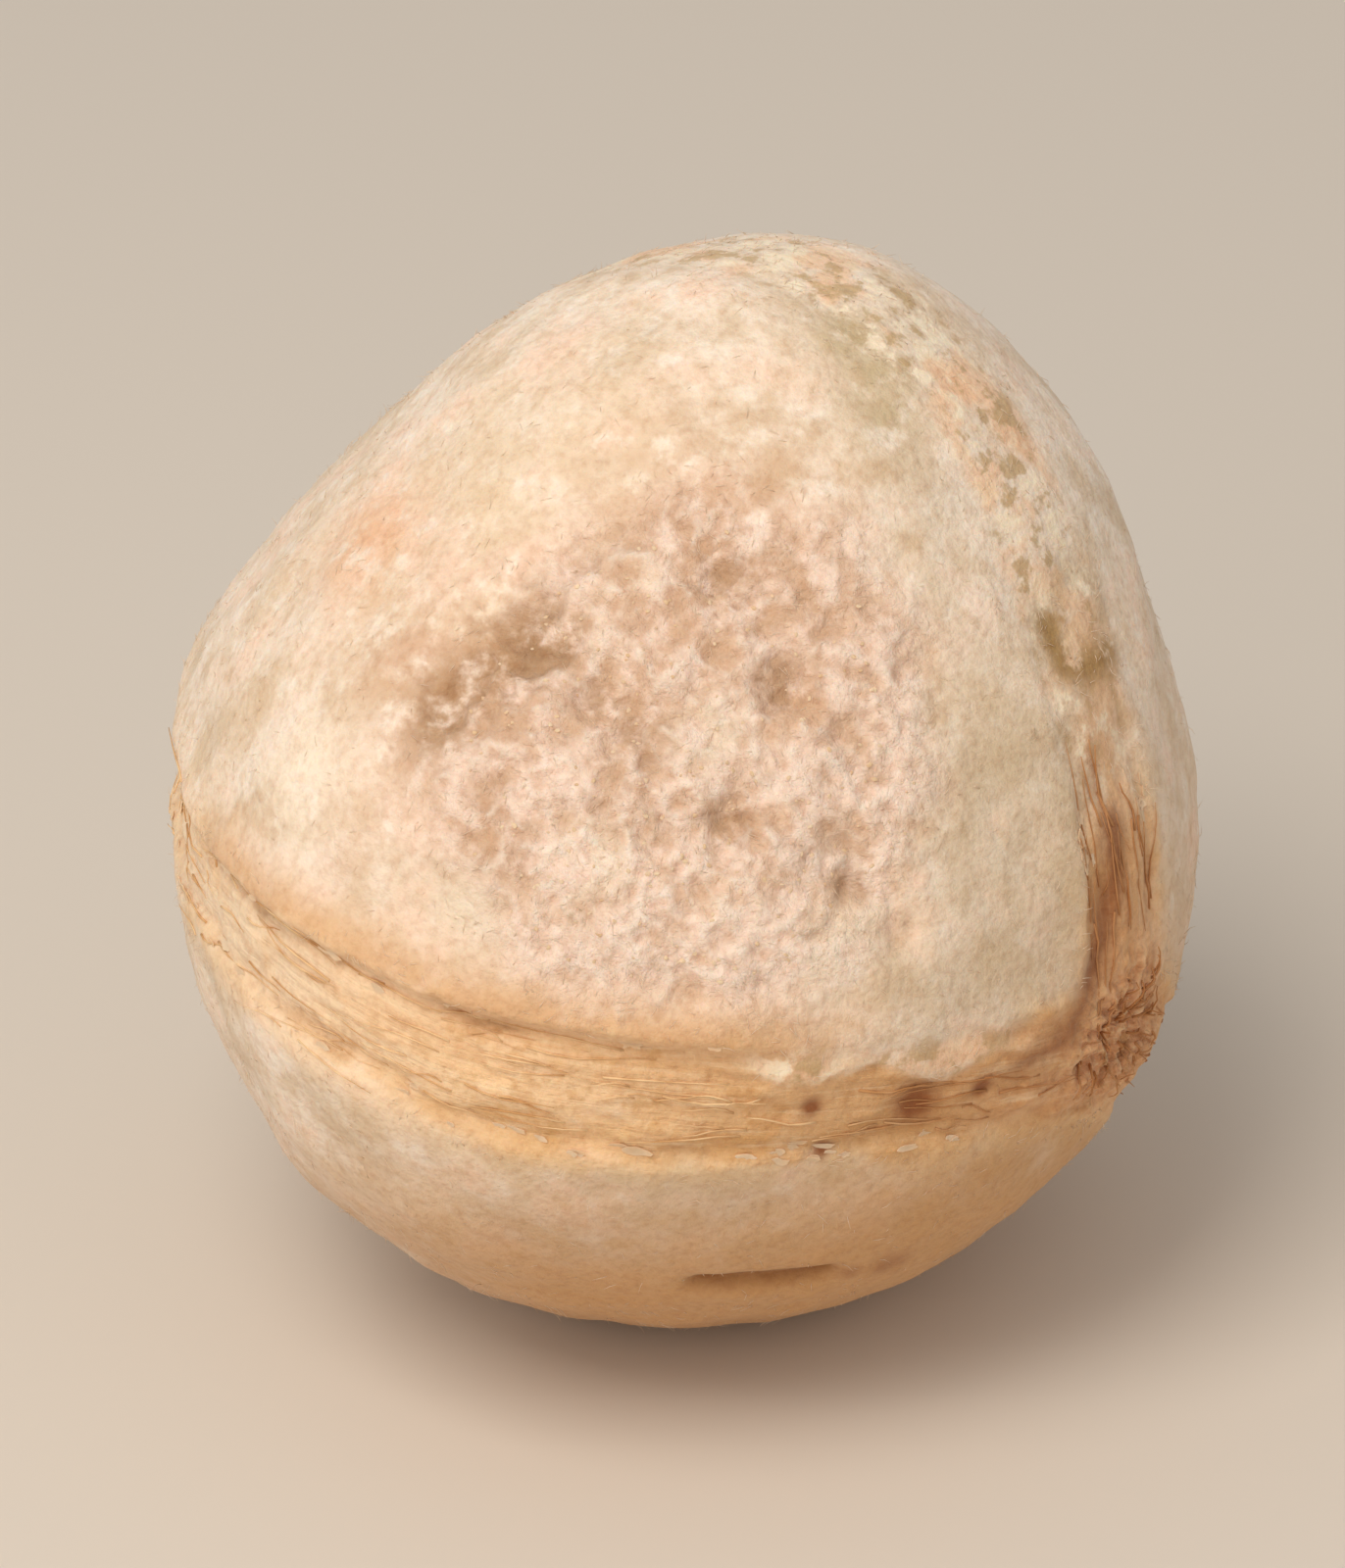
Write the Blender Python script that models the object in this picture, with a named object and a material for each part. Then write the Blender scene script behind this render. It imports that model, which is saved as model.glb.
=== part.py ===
"""A dehulled moringa seed: one bare kernel, lying on its side as it settles on a table.

A kernel is a rounded three-sided body. The three wings of the hull were fixed along its three
ridges, and where they were torn away they left three scars: shallow fibrous strips between
low lips. The scars run from pole to pole. At the +X pole they meet in a torn, sunken knot,
and at the other pole they close on a small blunt nub.

The body is worked out as a radius for each direction from its centre. A direction is given by
its polar angle, counted from the +X pole, and its turn round the kernel's own axis, counted from
+Y over the top. The axis then dips a little at the +X end, and the underside is flat where
the kernel rests. Lengths are in millimetres until the mesh is scaled at the end.
"""

import math
import random

import bmesh
import bpy
from mathutils import Matrix, Vector, noise

MM = 0.001

# Reach of the body from its centre, along the axis and square to it.
KNOT_POLE_REACH = 3.80
NUB_POLE_REACH = 3.95
KNOT_POLE_TAPER = 0.034
NUB_POLE_TAPER = 0.043

# The three ridges with their scars, in order round the axis. "turn" is where the crest lies, in
# degrees, and "reach" is how far out. "bend" is how far the scar turns off the crest at the knot
# and at the nub, in degrees. "half_width" is the scar's at its knot end and its nub end. "lips" and
# "creases" are the height and depth of those before and after it, and "faint" is the share of them
# that is left away from the knot.
RIDGES = (
    {"turn": 82.5, "reach": 4.57, "bend": (9.0, 0.0), "half_width": (0.44, 0.38),
     "lips": (0.02, 0.04), "creases": (0.06, 0.05), "faint": 0.35},
    {"turn": 178.0, "reach": 4.07, "bend": (-3.0, 10.0), "half_width": (0.48, 0.35),
     "lips": (0.07, 0.02), "creases": (0.09, 0.04), "faint": 1.0},
    {"turn": 325.0, "reach": 4.11, "bend": (-4.0, 6.0), "half_width": (0.46, 0.38),
     "lips": (0.04, 0.05), "creases": (0.06, 0.06), "faint": 0.8},
)
# Reach of the middle of each face: the front one, the low one and the back one.
FACE_REACH = (3.86, 3.74, 3.85)
MEAN_REACH = 3.95

# Section of a scar: a strip below the skin with a crease along each edge, between low lips.
# The crest of a lip and the bottom of a crease are placed by their distance from the edge.
SCAR_DEPTH = 0.055
CREASE_AT = -0.07
CREASE_WIDTH = 0.10
LIP_AT = 0.10
LIP_WIDTH = 0.24
SCAR_EDGE_SLOPE = 0.16
CORNER_ROUNDING = 0.12
# Where along the axis, from -1 at the nub to 1 at the knot, a scar narrows and where it fades.
NARROWING = (0.35, -0.25)
FADING = (0.50, 0.90)
# How far a scar wanders to the sides and how often on its way from pole to pole, and how ragged
# its edge is: height and spacing of the waves.
SCAR_WANDER = 0.06
WANDER_WAVES = 1.6
RAGGED_EDGE = 0.05
RAGGED_SPACING = 0.7

# The knot at the +X pole and the nub at the other.
KNOT_DEPTH = 0.16
KNOT_RADIUS = 0.42
NUB_HEIGHT = 0.20
NUB_RADIUS = 0.48

# The worn patch on the front face, flattened, crumbly and pitted.
PATCH_AT = (70.0, 137.0)
PATCH_RADIUS = 1.55
PATCH_DEPTH = 0.13
PATCH_CRUMB = 0.035
CRUMB_SPACING = 0.42
# Its large pits: polar angle, turn, radius and depth. The small ones are drawn at random.
PITS = (
    (92.5, 133.5, 0.38, 0.16),
    (97.0, 143.5, 0.28, 0.14),
    (88.0, 148.0, 0.20, 0.07),
    (83.0, 135.5, 0.24, 0.08),
    (77.5, 117.0, 0.26, 0.09),
    (92.0, 122.5, 0.20, 0.07),
    (65.5, 123.5, 0.24, 0.12),
    (76.0, 137.0, 0.26, 0.09),
    (63.0, 141.5, 0.24, 0.11),
    (47.5, 140.5, 0.20, 0.10),
    (40.5, 144.5, 0.18, 0.08),
    (60.5, 162.0, 0.20, 0.05),
)
SMALL_PITS = 16
SMALL_PIT_SPREAD = 1.8
SMALL_PIT_RADIUS = (0.12, 0.22)
SMALL_PIT_DEPTH = (0.03, 0.07)
PIT_SEED = 11
# How ragged a pit's rim is, as a share of its radius, and the spacing of its waves.
PIT_RAGGED = 0.35
PIT_RAGGED_SPACING = 0.32

# Shallow dents where the kernel pressed on its pod: polar angle, turn, radius and depth.
DENTS = (
    (150.0, 105.0, 1.60, 0.12),
    (84.0, 222.0, 1.20, 0.07),
    (64.0, 18.0, 1.25, 0.10),
    (112.0, 2.0, 0.95, 0.08),
    (128.0, 38.0, 0.80, 0.05),
)
# A short crease in the skin of the low face, from one polar angle and turn to the other.
LOW_CREASE = ((56.0, 213.0), (43.0, 221.0))
LOW_CREASE_DEPTH = 0.09
LOW_CREASE_WIDTH = 0.11

# Uneven swelling of the whole skin: height, spacing, and where in the noise it is read.
SWELL = 0.045
SWELL_SPACING = 1.3
SWELL_FROM = Vector((3, 1, 4))

# How the kernel lies: its +X end dips by this angle in degrees, and its underside is pressed flat
# up to this height above its lowest point.
AXIS_DIP = 10.0
REST_SPOT_RISE = 0.2

# The mesh: how fine the even ball is, how far from a scar and from the patch's middle it is split
# finer, how near a point lies to a lip's crest or a crease's bottom to be drawn onto it, and the
# step that measures the slope there.
BASE_SUBDIVISIONS = 5
FINE_BY_SCAR = 0.28
FINE_BY_PATCH = 1.8
LINE_PULL = 0.055
LINE_STEP = 0.01
# Past this many of its own radii a bump is nothing.
BUMP_END = 3


def direction(polar, turn):
    """The unit direction at that polar angle and turn, in degrees."""
    p, t = math.radians(polar), math.radians(turn)
    return Vector((math.cos(p), math.sin(p) * math.cos(t), math.sin(p) * math.sin(t)))


def smooth_step(start, end, x):
    """0 up to start, 1 from end on, and an even rise between them. The end may be the lower one."""
    t = min(1.0, max(0.0, (x - start) / (end - start)))
    return t * t * (3 - 2 * t)


def between(pair, share):
    """The first of the pair where the share is 0, the second where it is 1."""
    return pair[0] + (pair[1] - pair[0]) * share


def smooth_least(values, rounding):
    """The least of the values, with the corner where two of them cross rounded off."""
    total = sum(math.exp(-v / rounding) for v in values)
    return -rounding * math.log(total)


def bump(distance, radius):
    """A soft round rise that is 1 at its middle and nearly 0 past twice its radius."""
    return math.exp(-((distance / radius) ** 2))


def equator_reach(turn):
    """Reach of the body square to its axis: a crest on each ridge, least in mid face."""
    start = RIDGES[0]["turn"]
    ahead = (turn - start) % 360
    for k, face in enumerate(FACE_REACH):
        here = RIDGES[k]
        there = RIDGES[(k + 1) % len(RIDGES)]
        low = (here["turn"] - start) % 360
        high = (there["turn"] - start) % 360 or 360
        if low <= ahead <= high:
            share = (ahead - low) / (high - low)
            crest = here["reach"] if share < 0.5 else there["reach"]
            return face + (crest - face) * (0.5 + 0.5 * math.cos(2 * math.pi * share))
    raise ValueError(f"no face at turn {turn}")


def body_reach(d):
    """Reach of the smooth three-sided body in direction d, before any relief."""
    along = d.x
    across = math.hypot(d.y, d.z)
    turn = math.degrees(math.atan2(d.z, d.y))
    wide = MEAN_REACH + (equator_reach(turn) - MEAN_REACH) * across**2
    long = KNOT_POLE_REACH if along > 0 else NUB_POLE_REACH
    taper = KNOT_POLE_TAPER if along > 0 else NUB_POLE_TAPER
    oval = 1 / math.hypot(along / long, across / wide)
    return oval * (1 - taper * (2 * along * across) ** 2)


def skin_noise(d, spacing, start):
    """Even noise over the skin, with waves of that spacing in mm, read from that start."""
    return noise.noise(d * MEAN_REACH / spacing + start)


def scar_distance(d, ridge):
    """Distance in mm over the skin from d to the edge of that ridge's scar, negative inside it,
    and how far d lies to the side of its middle, positive after it."""
    polar = math.acos(max(-1.0, min(1.0, d.x)))
    across = math.sin(polar)
    own = Vector((0, 0, ridge["turn"]))
    wander = SCAR_WANDER * across * noise.noise(Vector((d.x * WANDER_WAVES, 0, 0)) + own)
    bend = ridge["bend"][0 if d.x > 0 else 1] * d.x**2
    turn = math.atan2(d.z, d.y) - math.radians(ridge["turn"] + bend)
    sideways = math.asin(max(-1.0, min(1.0, across * math.sin(turn)))) * MEAN_REACH - wander
    away = abs(sideways) if math.cos(turn) > 0 else min(polar, math.pi - polar) * MEAN_REACH
    half = between(ridge["half_width"], smooth_step(*NARROWING, d.x))
    return away - half + RAGGED_EDGE * skin_noise(d, RAGGED_SPACING, own), sideways


def scar_edge(d):
    """Distance in mm from d to the edge of the joined scars, negative inside them."""
    return smooth_least([scar_distance(d, r)[0] for r in RIDGES], CORNER_ROUNDING)


def scar_relief(d):
    """Height of the scars' strips, creases and lips in direction d."""
    edge = scar_edge(d)
    if edge > LIP_AT + BUMP_END * LIP_WIDTH:
        return 0.0
    inside = smooth_step(SCAR_EDGE_SLOPE / 2, -SCAR_EDGE_SLOPE / 2, edge)
    height = total = 0.0
    for ridge in RIDGES:
        away, sideways = scar_distance(d, ridge)
        after = smooth_step(-LIP_WIDTH, LIP_WIDTH, sideways)
        section = between(ridge["lips"], after) * bump(edge - LIP_AT, LIP_WIDTH) * (1 - inside)
        section -= between(ridge["creases"], after) * bump(edge - CREASE_AT, CREASE_WIDTH)
        section -= SCAR_DEPTH * inside
        share = math.exp(-away / CORNER_ROUNDING)
        height += share * section * between((ridge["faint"], 1), smooth_step(*FADING, d.x))
        total += share
    return height / total


def small_pits():
    """Direction, radius and depth of the patch's small pits, strewn evenly over it."""
    draw = random.Random(PIT_SEED)
    square = PATCH_DIRECTION.orthogonal()
    made = []
    for _ in range(SMALL_PITS):
        away = SMALL_PIT_SPREAD * math.sqrt(draw.random()) / MEAN_REACH
        at = Matrix.Rotation(away, 3, square) @ PATCH_DIRECTION
        at = Matrix.Rotation(draw.uniform(0, 2 * math.pi), 3, PATCH_DIRECTION) @ at
        made.append((at, draw.uniform(*SMALL_PIT_RADIUS), draw.uniform(*SMALL_PIT_DEPTH)))
    return made


PATCH_DIRECTION = direction(*PATCH_AT)
ALL_PITS = [(direction(p, t), radius, depth) for p, t, radius, depth in PITS] + small_pits()
ALL_DENTS = [(direction(p, t), radius, depth) for p, t, radius, depth in DENTS]


def arc_distance(a, b):
    """Distance in mm over the skin between two directions."""
    return a.angle(b) * MEAN_REACH


def patch_relief(d):
    """Height of the worn patch and its pits in direction d."""
    away = arc_distance(d, PATCH_DIRECTION)
    if away > BUMP_END * PATCH_RADIUS:
        return 0.0
    worn = bump(away, PATCH_RADIUS)
    height = worn * (PATCH_CRUMB * skin_noise(d, CRUMB_SPACING, PATCH_DIRECTION) - PATCH_DEPTH)
    for at, radius, depth in ALL_PITS:
        ragged = 1 + PIT_RAGGED * skin_noise(d, PIT_RAGGED_SPACING, at)
        height -= depth * bump(arc_distance(d, at), radius * ragged)
    return height


def low_crease_relief(d):
    """Height of the short crease in the low face in direction d."""
    start, end = (direction(*at) for at in LOW_CREASE)
    share = min(1.0, max(0.0, (d - start).dot(end - start) / (end - start).length_squared))
    nearest = start.lerp(end, share).normalized()
    return -LOW_CREASE_DEPTH * bump(arc_distance(d, nearest), LOW_CREASE_WIDTH)


def pole_relief(d):
    """Height of the sunken knot at the +X pole and of the nub at the other."""
    knot = bump(arc_distance(d, Vector((1, 0, 0))), KNOT_RADIUS)
    nub = bump(arc_distance(d, Vector((-1, 0, 0))), NUB_RADIUS)
    return NUB_HEIGHT * nub - KNOT_DEPTH * knot


def skin_reach(d):
    """Reach of the finished skin in direction d."""
    reach = body_reach(d) + SWELL * skin_noise(d, SWELL_SPACING, SWELL_FROM)
    reach += scar_relief(d) + patch_relief(d) + pole_relief(d) + low_crease_relief(d)
    for at, radius, depth in ALL_DENTS:
        reach -= depth * bump(arc_distance(d, at), radius)
    return reach


def has_relief(d):
    """True where the skin has relief too fine for the even mesh."""
    return scar_edge(d) < FINE_BY_SCAR or arc_distance(d, PATCH_DIRECTION) < FINE_BY_PATCH


def drawn_to_line(d):
    """The direction d, moved onto the crest of a lip or the bottom of a crease that it is near."""
    edge = scar_edge(d)
    for line in (CREASE_AT, LIP_AT):
        if abs(edge - line) < LINE_PULL:
            step = LINE_STEP / MEAN_REACH
            side = d.cross(Vector((1, 0, 0))).normalized()
            along = d.cross(side)
            slope = Vector((scar_edge((d + side * step).normalized()) - edge,
                            scar_edge((d + along * step).normalized()) - edge)) / step
            if slope.length > MEAN_REACH / 2:
                shift = (line - edge) / slope.length_squared
                return (d + (side * slope.x + along * slope.y) * shift).normalized()
    return d


def kernel_mesh():
    """The kernel's mesh: an even ball of triangles, split finer under its relief."""
    bm = bmesh.new()
    bmesh.ops.create_icosphere(bm, subdivisions=BASE_SUBDIVISIONS, radius=1.0)
    fine = [e for e in bm.edges if has_relief(((e.verts[0].co + e.verts[1].co) / 2).normalized())]
    bmesh.ops.subdivide_edges(bm, edges=fine, cuts=1, use_grid_fill=True)
    bmesh.ops.triangulate(bm, faces=bm.faces[:])
    dip = Matrix.Rotation(math.radians(AXIS_DIP), 3, "Y")
    for v in bm.verts:
        d = drawn_to_line(v.co.normalized())
        v.co = dip @ (d * skin_reach(d))
    press_rest_spot(bm)
    stand_on_origin(bm)
    bmesh.ops.scale(bm, vec=(MM, MM, MM), verts=bm.verts[:])
    bmesh.ops.recalc_face_normals(bm, faces=bm.faces[:])
    mesh = bpy.data.meshes.new("kernel")
    bm.to_mesh(mesh)
    bm.free()
    mesh.shade_smooth()
    return mesh


def stand_on_origin(bm):
    """Moves the kernel so that the middle of its box's underside is the origin."""
    low = Vector(min(v.co[k] for v in bm.verts) for k in range(3))
    high = Vector(max(v.co[k] for v in bm.verts) for k in range(3))
    base = Vector(((low.x + high.x) / 2, (low.y + high.y) / 2, low.z))
    bmesh.ops.translate(bm, vec=-base, verts=bm.verts[:])


def press_rest_spot(bm):
    """Presses the underside flat up to a small height above its lowest point."""
    level = min(v.co.z for v in bm.verts) + REST_SPOT_RISE
    for v in bm.verts:
        v.co.z = max(v.co.z, level)


def kernel_skin():
    """The kernel's dry skin: matt cream with a touch of tan."""
    material = bpy.data.materials.new("kernel_skin")
    material.use_nodes = True
    shader = material.node_tree.nodes["Principled BSDF"]
    shader.inputs["Base Color"].default_value = (0.72, 0.53, 0.36, 1)
    shader.inputs["Roughness"].default_value = 0.8
    shader.inputs["Metallic"].default_value = 0.0
    return material


def clear_scene():
    """Removes every object that the file opened with."""
    for obj in list(bpy.data.objects):
        bpy.data.objects.remove(obj, do_unlink=True)


clear_scene()
kernel = bpy.data.objects.new("kernel", kernel_mesh())
kernel.data.materials.append(kernel_skin())
bpy.context.scene.collection.objects.link(kernel)
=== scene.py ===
"""A dehulled moringa seed on a pale table: the finish of the one grown kernel.

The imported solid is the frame. The skin here repeats its form from the same values, on a finer
mesh, and adds what is too fine for the solid: torn edges and crevices, fibres, crumbs, scraps of
skin, nap and colour. Lengths are in mm, and MM turns them to metres where a mesh is laid down.
"""

import math
import random

import bmesh
import bpy
import numpy as np
from mathutils import Matrix, Vector, noise


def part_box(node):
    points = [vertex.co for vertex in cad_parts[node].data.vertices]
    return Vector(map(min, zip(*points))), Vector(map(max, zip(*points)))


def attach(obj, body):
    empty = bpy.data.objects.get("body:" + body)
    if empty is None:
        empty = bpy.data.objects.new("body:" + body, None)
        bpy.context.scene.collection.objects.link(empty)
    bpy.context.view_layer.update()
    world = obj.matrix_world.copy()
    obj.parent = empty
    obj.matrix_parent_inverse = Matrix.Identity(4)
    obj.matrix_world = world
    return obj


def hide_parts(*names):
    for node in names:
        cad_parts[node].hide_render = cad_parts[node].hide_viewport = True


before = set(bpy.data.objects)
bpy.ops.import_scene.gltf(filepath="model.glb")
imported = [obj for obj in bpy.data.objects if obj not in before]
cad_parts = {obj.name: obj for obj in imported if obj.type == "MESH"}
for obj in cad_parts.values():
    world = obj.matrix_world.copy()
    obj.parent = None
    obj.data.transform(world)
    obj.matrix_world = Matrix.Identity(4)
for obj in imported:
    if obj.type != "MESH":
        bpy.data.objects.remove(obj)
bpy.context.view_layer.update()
MM = 0.001


# The kernel's form: a rounded three-sided body of one solid piece, two fat seed leaves in a thin
# skin. It is a reach for each direction from its centre. A direction has a polar angle, counted
# from the +X pole, and a turn round the axis, counted from +Y over the top, both in degrees.

KNOT_POLE_REACH, NUB_POLE_REACH = 3.80, 3.95
KNOT_POLE_TAPER, NUB_POLE_TAPER = 0.034, 0.043
RIDGES = (
    {"turn": 82.5, "reach": 4.57, "bend": (9.0, 0.0), "half_width": (0.44, 0.38),
     "lips": (0.02, 0.04), "creases": (0.06, 0.05), "faint": 0.35},
    {"turn": 178.0, "reach": 4.07, "bend": (-3.0, 10.0), "half_width": (0.48, 0.35),
     "lips": (0.07, 0.02), "creases": (0.09, 0.04), "faint": 1.0},
    {"turn": 325.0, "reach": 4.11, "bend": (-4.0, 6.0), "half_width": (0.46, 0.38),
     "lips": (0.04, 0.05), "creases": (0.06, 0.06), "faint": 0.8},
)
FACE_REACH = (3.86, 3.74, 3.85)
MEAN_REACH = 3.95
SWELL, SWELL_SPACING, SWELL_FROM = 0.045, 1.3, (3, 1, 4)
# Shallow dents where the kernel pressed on its pod: polar angle, turn, radius and depth.
DENTS = (
    (150.0, 105.0, 1.60, 0.12),
    (84.0, 222.0, 1.20, 0.07),
    (64.0, 18.0, 1.25, 0.10),
    (112.0, 2.0, 0.95, 0.08),
    (128.0, 38.0, 0.80, 0.05),
)


def direction(polar, turn):
    """The unit direction at that polar angle and turn."""
    p, t = math.radians(polar), math.radians(turn)
    return np.array((math.cos(p), math.sin(p) * math.cos(t), math.sin(p) * math.sin(t)))


def smooth_step(start, end, x):
    """0 up to start, 1 from end on, and an even rise between them. The end may be the lower one."""
    t = np.clip((x - start) / (end - start), 0, 1)
    return t * t * (3 - 2 * t)


def between(pair, share):
    """The first of the pair where the share is 0, the second where it is 1."""
    return pair[0] + (pair[1] - pair[0]) * share


def bump(distance, radius):
    """A soft round rise that is 1 at its middle and nearly 0 past twice its radius."""
    return np.exp(-((distance / radius) ** 2))


def noise_at(places):
    """Even noise, about -0.7 to 0.7, at each of the places."""
    return np.array([noise.noise(place) for place in places.tolist()])


def skin_noise(d, spacing, start=(0, 0, 0)):
    """Noise over the skin with waves of that spacing, read from that start."""
    return noise_at(d * (MEAN_REACH / spacing) + np.array(start))


def arc_distance(d, at):
    """Distance over the skin from each direction to that one."""
    return np.arccos(np.clip(d @ at, -1, 1)) * MEAN_REACH


def equator_reach(turn):
    """Reach of the body square to its axis: a crest on each ridge, least in mid face."""
    reach = np.zeros_like(turn)
    start = RIDGES[0]["turn"]
    ahead = (turn - start) % 360
    for k, face in enumerate(FACE_REACH):
        here, there = RIDGES[k], RIDGES[(k + 1) % len(RIDGES)]
        low, high = (here["turn"] - start) % 360, (there["turn"] - start) % 360 or 360
        share = (ahead - low) / (high - low)
        on = (share >= 0) & (share <= 1)
        crest = np.where(share < 0.5, here["reach"], there["reach"])
        reach[on] = (face + (crest - face) * (0.5 + 0.5 * np.cos(2 * math.pi * share)))[on]
    return reach


def body_reach(d):
    """Reach of the smooth body with its swellings and dents."""
    along, across = d[:, 0], np.hypot(d[:, 1], d[:, 2])
    turn = np.degrees(np.arctan2(d[:, 2], d[:, 1]))
    wide = MEAN_REACH + (equator_reach(turn) - MEAN_REACH) * across**2
    long = np.where(along > 0, KNOT_POLE_REACH, NUB_POLE_REACH)
    taper = np.where(along > 0, KNOT_POLE_TAPER, NUB_POLE_TAPER)
    reach = (1 - taper * (2 * along * across) ** 2) / np.hypot(along / long, across / wide)
    reach += SWELL * skin_noise(d, SWELL_SPACING, SWELL_FROM)
    for polar, turn, radius, depth in DENTS:
        reach -= depth * bump(arc_distance(d, direction(polar, turn)), radius)
    return reach


# The wing scars: three strips of torn fibre, sunk a little below the skin, where the papery wings
# of the hull broke away. The skin ends at each side in a low lip with a dark crevice under it. The
# strips run from pole to pole along the ridges and meet in a knot at the +X pole.

SCAR_DEPTH = 0.055
CREASE_AT, CREASE_WIDTH = -0.07, 0.10
LIP_AT, LIP_WIDTH = 0.10, 0.24
SCAR_EDGE_SLOPE = 0.16
CORNER_ROUNDING = 0.12
NARROWING, FADING = (0.35, -0.25), (0.50, 0.90)
SCAR_WANDER, WANDER_WAVES = 0.06, 1.6
RAGGED_EDGE, RAGGED_SPACING = 0.05, 0.7
STRIP_APART = 7.3


def scars(d):
    """The scars in each direction: distance to their edge, negative inside, height of the lip and
    depth of the crease there, how plain they are, and the place on the nearest strip."""
    polar = np.arccos(np.clip(d[:, 0], -1, 1))
    across = np.sin(polar)
    rows = []
    for ridge in RIDGES:
        places = np.outer(d[:, 0], (WANDER_WAVES, 0, 0)) + (0, 0, ridge["turn"])
        bend = np.where(d[:, 0] > 0, *ridge["bend"]) * d[:, 0] ** 2
        turn = np.arctan2(d[:, 2], d[:, 1]) - np.radians(ridge["turn"] + bend)
        sideways = np.arcsin(np.clip(across * np.sin(turn), -1, 1)) * MEAN_REACH
        sideways -= SCAR_WANDER * across * noise_at(places)
        pole = np.minimum(polar, math.pi - polar) * MEAN_REACH
        away = np.where(np.cos(turn) > 0, np.abs(sideways), pole)
        away -= between(ridge["half_width"], smooth_step(*NARROWING, d[:, 0]))
        away += RAGGED_EDGE * skin_noise(d, RAGGED_SPACING, (0, 0, ridge["turn"]))
        after = smooth_step(-LIP_WIDTH, LIP_WIDTH, sideways)
        plain = between((ridge["faint"], 1), smooth_step(*FADING, d[:, 0]))
        lip, crease = between(ridge["lips"], after) * plain, between(ridge["creases"], after) * plain
        rows.append((away, lip, crease, plain, sideways))
    away, lip, crease, plain, sideways = np.array(rows).transpose(1, 0, 2)
    share = np.exp(-away / CORNER_ROUNDING)
    edge = -CORNER_ROUNDING * np.log(share.sum(0))
    lip, crease, plain = ((share * part).sum(0) / share.sum(0) for part in (lip, crease, plain))
    nearest = away.argmin(0)
    side = np.take_along_axis(sideways, nearest[None], 0)[0]
    return edge, lip, crease, plain, np.stack([side, polar * MEAN_REACH, nearest * STRIP_APART], 1)


def on_strip(ridge, polar, sideways):
    """The direction at that polar angle and that far to the side of the middle of a ridge's strip."""
    along, across = math.cos(math.radians(polar)), math.sin(math.radians(polar))
    wander = SCAR_WANDER * across * noise.noise((along * WANDER_WAVES, 0, ridge["turn"]))
    aside = math.sin((sideways + wander) / MEAN_REACH) / across
    bend = ridge["bend"][0 if along > 0 else 1] * along**2
    return direction(polar, ridge["turn"] + bend + math.degrees(math.asin(max(-1, min(1, aside)))))


# The worn patch, its pits, the knot and the nub. On the front face the skin is rubbed through to
# the crumbly flesh. At the +X pole the wings' fibres tore out of a sunken knot, and at the other
# they close on a small blunt nub. The low face has one short crease.

PATCH_AT = direction(70.0, 137.0)
PATCH_RADIUS, PATCH_DEPTH = 1.55, 0.13
PATCH_CRUMB, CRUMB_SPACING = 0.035, 0.42
PITS = (
    (92.5, 133.5, 0.38, 0.16),
    (97.0, 143.5, 0.28, 0.14),
    (88.0, 148.0, 0.20, 0.07),
    (83.0, 135.5, 0.24, 0.08),
    (77.5, 117.0, 0.26, 0.09),
    (92.0, 122.5, 0.20, 0.07),
    (65.5, 123.5, 0.24, 0.12),
    (76.0, 137.0, 0.26, 0.09),
    (63.0, 141.5, 0.24, 0.11),
    (47.5, 140.5, 0.20, 0.10),
    (40.5, 144.5, 0.18, 0.08),
    (60.5, 162.0, 0.20, 0.05),
)
SMALL_PITS, SMALL_PIT_SPREAD, PIT_SEED = 16, 1.8, 11
SMALL_PIT_RADIUS, SMALL_PIT_DEPTH = (0.12, 0.22), (0.03, 0.07)
PIT_RAGGED, PIT_RAGGED_SPACING = 0.35, 0.32
DARKEST_PIT = 0.15
KNOT_AT, KNOT_DEPTH, KNOT_RADIUS = np.array((1, 0, 0)), 0.16, 0.42
NUB_AT, NUB_HEIGHT, NUB_RADIUS = np.array((-1, 0, 0)), 0.20, 0.48
LOW_CREASE = (direction(56.0, 213.0), direction(43.0, 221.0))
LOW_CREASE_DEPTH, LOW_CREASE_WIDTH = 0.09, 0.11


def strewn(draw, spread):
    """A direction drawn evenly over the patch, no farther than that spread from its middle."""
    middle = Vector(PATCH_AT)
    away = spread * math.sqrt(draw.random()) / MEAN_REACH
    at = Matrix.Rotation(away, 3, middle.orthogonal()) @ middle
    return np.array(Matrix.Rotation(draw.uniform(0, 2 * math.pi), 3, middle) @ at)


draw = random.Random(PIT_SEED)
ALL_PITS = [(direction(p, t), radius, depth) for p, t, radius, depth in PITS]
for _ in range(SMALL_PITS):
    at = strewn(draw, SMALL_PIT_SPREAD)
    ALL_PITS.append((at, draw.uniform(*SMALL_PIT_RADIUS), draw.uniform(*SMALL_PIT_DEPTH)))


def worn_patch(d):
    """Height of the worn patch with its pits, how worn the skin is, and how deep in a pit."""
    worn = bump(arc_distance(d, PATCH_AT), PATCH_RADIUS)
    height = worn * (PATCH_CRUMB * skin_noise(d, CRUMB_SPACING, PATCH_AT) - PATCH_DEPTH)
    pit = np.zeros(len(d))
    for at, radius, depth in ALL_PITS:
        away = arc_distance(d, at)
        near = away < 3 * radius
        ragged = 1 + PIT_RAGGED * skin_noise(d[near], PIT_RAGGED_SPACING, at)
        hollow = bump(away[near], radius * ragged)
        height[near] -= depth * hollow
        pit[near] = np.maximum(pit[near], hollow * depth / DARKEST_PIT)
    return height, worn, np.clip(pit, 0, 1)


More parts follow.
